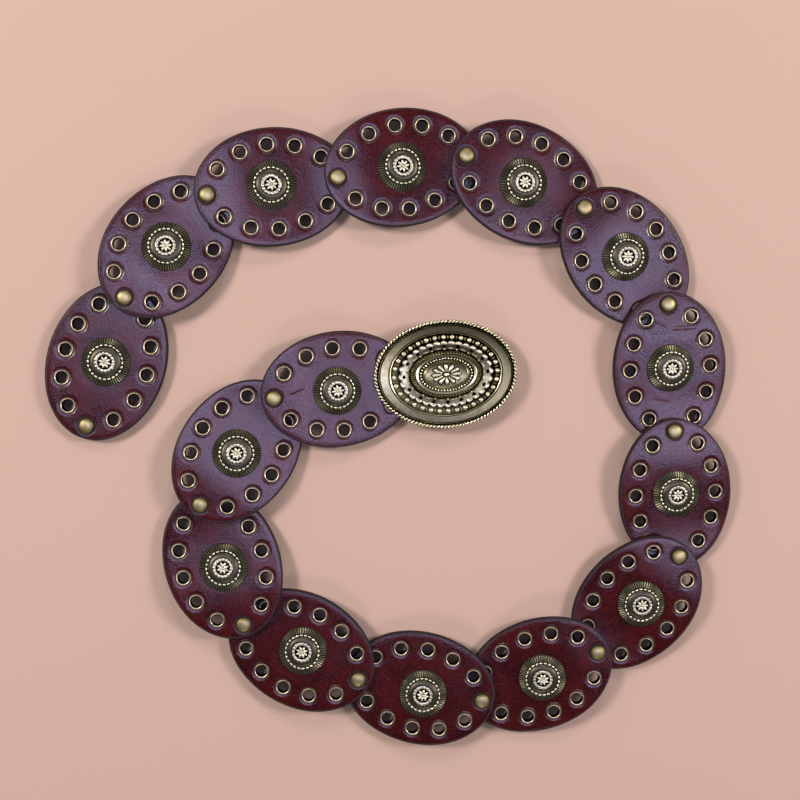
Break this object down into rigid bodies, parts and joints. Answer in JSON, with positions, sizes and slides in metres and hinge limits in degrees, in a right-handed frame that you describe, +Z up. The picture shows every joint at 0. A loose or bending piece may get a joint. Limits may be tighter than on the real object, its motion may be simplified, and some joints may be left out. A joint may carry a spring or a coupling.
{
  "type": "leather link hip belt with oval buckle",
  "caption": "Wide waist belt of oval leather discs riveted end over end, each ringed with eyelets around a domed concho, with a large oval hook buckle, laid in an open spiral.",
  "frame": {"origin": "on the floor, under the middle of the belt's plan as it lies in its spiral", "axes": "+Z up from the floor; +X along the plan's longer side, towards the discs farthest from the free end; +Y towards the top of the picture"},
  "size_m": [0.3864, 0.3598, 0.0142],
  "materials": {
    "leather": "waxed oxblood leather, satin, with darker burnished edges",
    "rivet_brass": "satin pale brass",
    "concho_metal": "antique silver-brass, dark in the recesses",
    "buckle_metal": "antique brass, dark in the recesses"
  },
  "bodies": {
    "root": {"disc_01": "leather", "disc_02": "leather", "disc_03": "leather", "disc_04": "leather", "disc_05": "leather", "disc_06": "leather", "disc_07": "leather", "disc_08": "leather", "disc_09": "leather", "disc_10": "leather", "disc_11": "leather", "disc_12": "leather", "disc_13": "leather", "disc_14": "leather", "disc_15": "leather", "rivet_01": "rivet_brass", "rivet_02": "rivet_brass", "rivet_03": "rivet_brass", "rivet_04": "rivet_brass", "rivet_05": "rivet_brass", "rivet_06": "rivet_brass", "rivet_07": "rivet_brass", "rivet_08": "rivet_brass", "rivet_09": "rivet_brass", "rivet_10": "rivet_brass", "rivet_11": "rivet_brass", "rivet_12": "rivet_brass", "rivet_13": "rivet_brass", "rivet_14": "rivet_brass", "rivet_15": "rivet_brass", "concho_01": "concho_metal", "concho_02": "concho_metal", "concho_03": "concho_metal", "concho_04": "concho_metal", "concho_05": "concho_metal", "concho_06": "concho_metal", "concho_07": "concho_metal", "concho_08": "concho_metal", "concho_09": "concho_metal", "concho_10": "concho_metal", "concho_11": "concho_metal", "concho_12": "concho_metal", "concho_13": "concho_metal", "concho_14": "concho_metal", "concho_15": "concho_metal", "buckle_plate": "buckle_metal", "buckle_post": "rivet_brass"}
  },
  "joints": []
}
